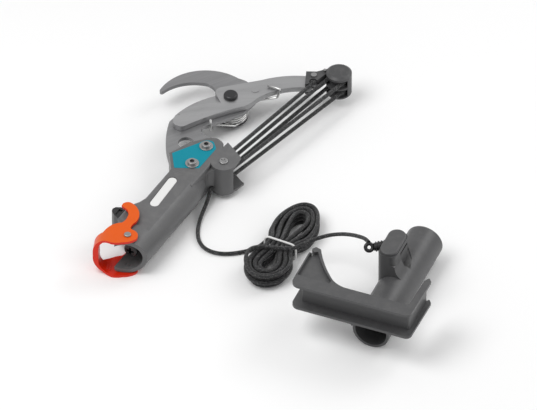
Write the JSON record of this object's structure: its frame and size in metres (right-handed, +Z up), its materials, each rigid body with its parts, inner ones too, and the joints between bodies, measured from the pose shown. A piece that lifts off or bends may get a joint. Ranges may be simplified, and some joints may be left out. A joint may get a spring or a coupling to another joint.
{
  "type": "tree pruner head",
  "caption": "Hook-and-lever tree pruner head with pole socket, cord tackle, return spring and locking bracket, with a tied hank of cord running to a sliding winder grip.",
  "frame": {"origin": "free end of the black spigot inside the pole socket, on the socket's axis", "axes": "+Y along the socket's axis towards the cutting head, +Z up from the surface the tool lies on, +X to the side of the cord and the winder grip"},
  "size_m": [0.4075, 0.3583, 0.0673],
  "materials": {
    "body_grey": "mid-grey moulded plastic, satin, fine grain",
    "black_plastic": "black moulded plastic, dull",
    "dark_plastic": "near-black glass-filled plastic, dull",
    "panel_teal": "teal moulded plastic, satin",
    "plate_white": "bare white plate, smooth",
    "fastener_steel": "plain steel, lightly turned",
    "bolt_black": "blackened steel, half dull",
    "spring_steel": "bright drawn steel wire",
    "blade_grey": "dark coated steel with a ground edge",
    "lever_steel": "light ground steel, bright bevel",
    "bracket_orange": "orange, half gloss",
    "cord_black": "black braided cord with grey flecks",
    "tie_grey": "pale grey twisted tie",
    "grip_grey": "dark grey moulded plastic, satin"
  },
  "bodies": {
    "head": {"socket_body": "body_grey", "socket_spigot": "black_plastic", "label_plate": "plate_white", "side_panel_upper": "panel_teal", "side_panel_lower": "panel_teal", "panel_washers": "fastener_steel", "panel_screws": "fastener_steel", "panel_nuts": "fastener_steel", "hook_blade": "blade_grey", "pivot_bolt": "bolt_black", "pivot_nut": "bolt_black", "return_spring": "spring_steel", "lower_axle": "fastener_steel", "lower_wraps": "cord_black", "lock_lug": "black_plastic", "lock_rivets": "fastener_steel", "cord_head": "cord_black", "cord_hank": "cord_black", "hank_tie": "tie_grey", "cord_grip": "cord_black", "grip_sleeve": "grip_grey", "cord_post": "grip_grey", "winder_frame": "grip_grey", "winder_screws": "fastener_steel", "post_cap": "grip_grey", "cord_connector": "black_plastic"},
    "lever": {"blade_lever": "lever_steel", "upper_block_top": "dark_plastic", "upper_block_bottom": "dark_plastic", "upper_axle": "fastener_steel", "block_screws": "fastener_steel", "dead_end_knot": "cord_black", "upper_wraps": "cord_black"},
    "tackle": {"strand_1": "cord_black", "strand_2": "cord_black", "strand_3": "cord_black", "strand_4": "cord_black", "strand_5": "cord_black"},
    "lock_bracket": {"lock_bracket": "bracket_orange"},
    "lower_pulley_1": {"lower_pulley_1": "dark_plastic"},
    "lower_pulley_2": {"lower_pulley_2": "dark_plastic"},
    "lower_pulley_3": {"lower_pulley_3": "dark_plastic"},
    "upper_pulley_1": {"upper_pulley_1": "dark_plastic"},
    "upper_pulley_2": {"upper_pulley_2": "dark_plastic"}
  },
  "joints": [
    {"name": "jaw_hinge", "type": "hinge", "parent": "head", "child": "lever", "pos_m": [-0.025, 0.2423, 0], "axis": [0, 0, -1], "range_deg": [0, 57], "stiffness_Nm_per_rad": 0.3, "springref_deg": -28.65, "deforming": ["return_spring"]},
    {"name": "tackle_swing", "type": "hinge", "parent": "head", "child": "tackle", "pos_m": [0.0233, 0.1449, 0], "axis": [0, 0, -1], "range_deg": [0, 30], "deforming": ["strand_1", "strand_2", "strand_3", "strand_4", "strand_5"]},
    {"name": "lower_pulley_1_spin", "type": "hinge", "parent": "head", "child": "lower_pulley_1", "pos_m": [0.0233, 0.1449, 0.01], "axis": [0, 0, 1], "continuous": true},
    {"name": "lower_pulley_2_spin", "type": "hinge", "parent": "head", "child": "lower_pulley_2", "pos_m": [0.0233, 0.1449, 0], "axis": [0, 0, 1], "continuous": true},
    {"name": "lower_pulley_3_spin", "type": "hinge", "parent": "head", "child": "lower_pulley_3", "pos_m": [0.0233, 0.1449, -0.01], "axis": [0, 0, 1], "continuous": true},
    {"name": "upper_pulley_1_spin", "type": "hinge", "parent": "lever", "child": "upper_pulley_1", "pos_m": [0.0555, 0.321, 0.008], "axis": [0, 0, 1], "continuous": true},
    {"name": "upper_pulley_2_spin", "type": "hinge", "parent": "lever", "child": "upper_pulley_2", "pos_m": [0.0555, 0.321, -0.0035], "axis": [0, 0, 1], "continuous": true},
    {"name": "lock_swing", "type": "hinge", "parent": "head", "child": "lock_bracket", "pos_m": [-0.001, -0.004, 0], "axis": [0, 0, 1], "range_deg": [0, 30]}
  ],
  "couplings": [
    {"joint": "tackle_swing", "follows": "jaw_hinge", "ratio": 0.525}
  ]
}
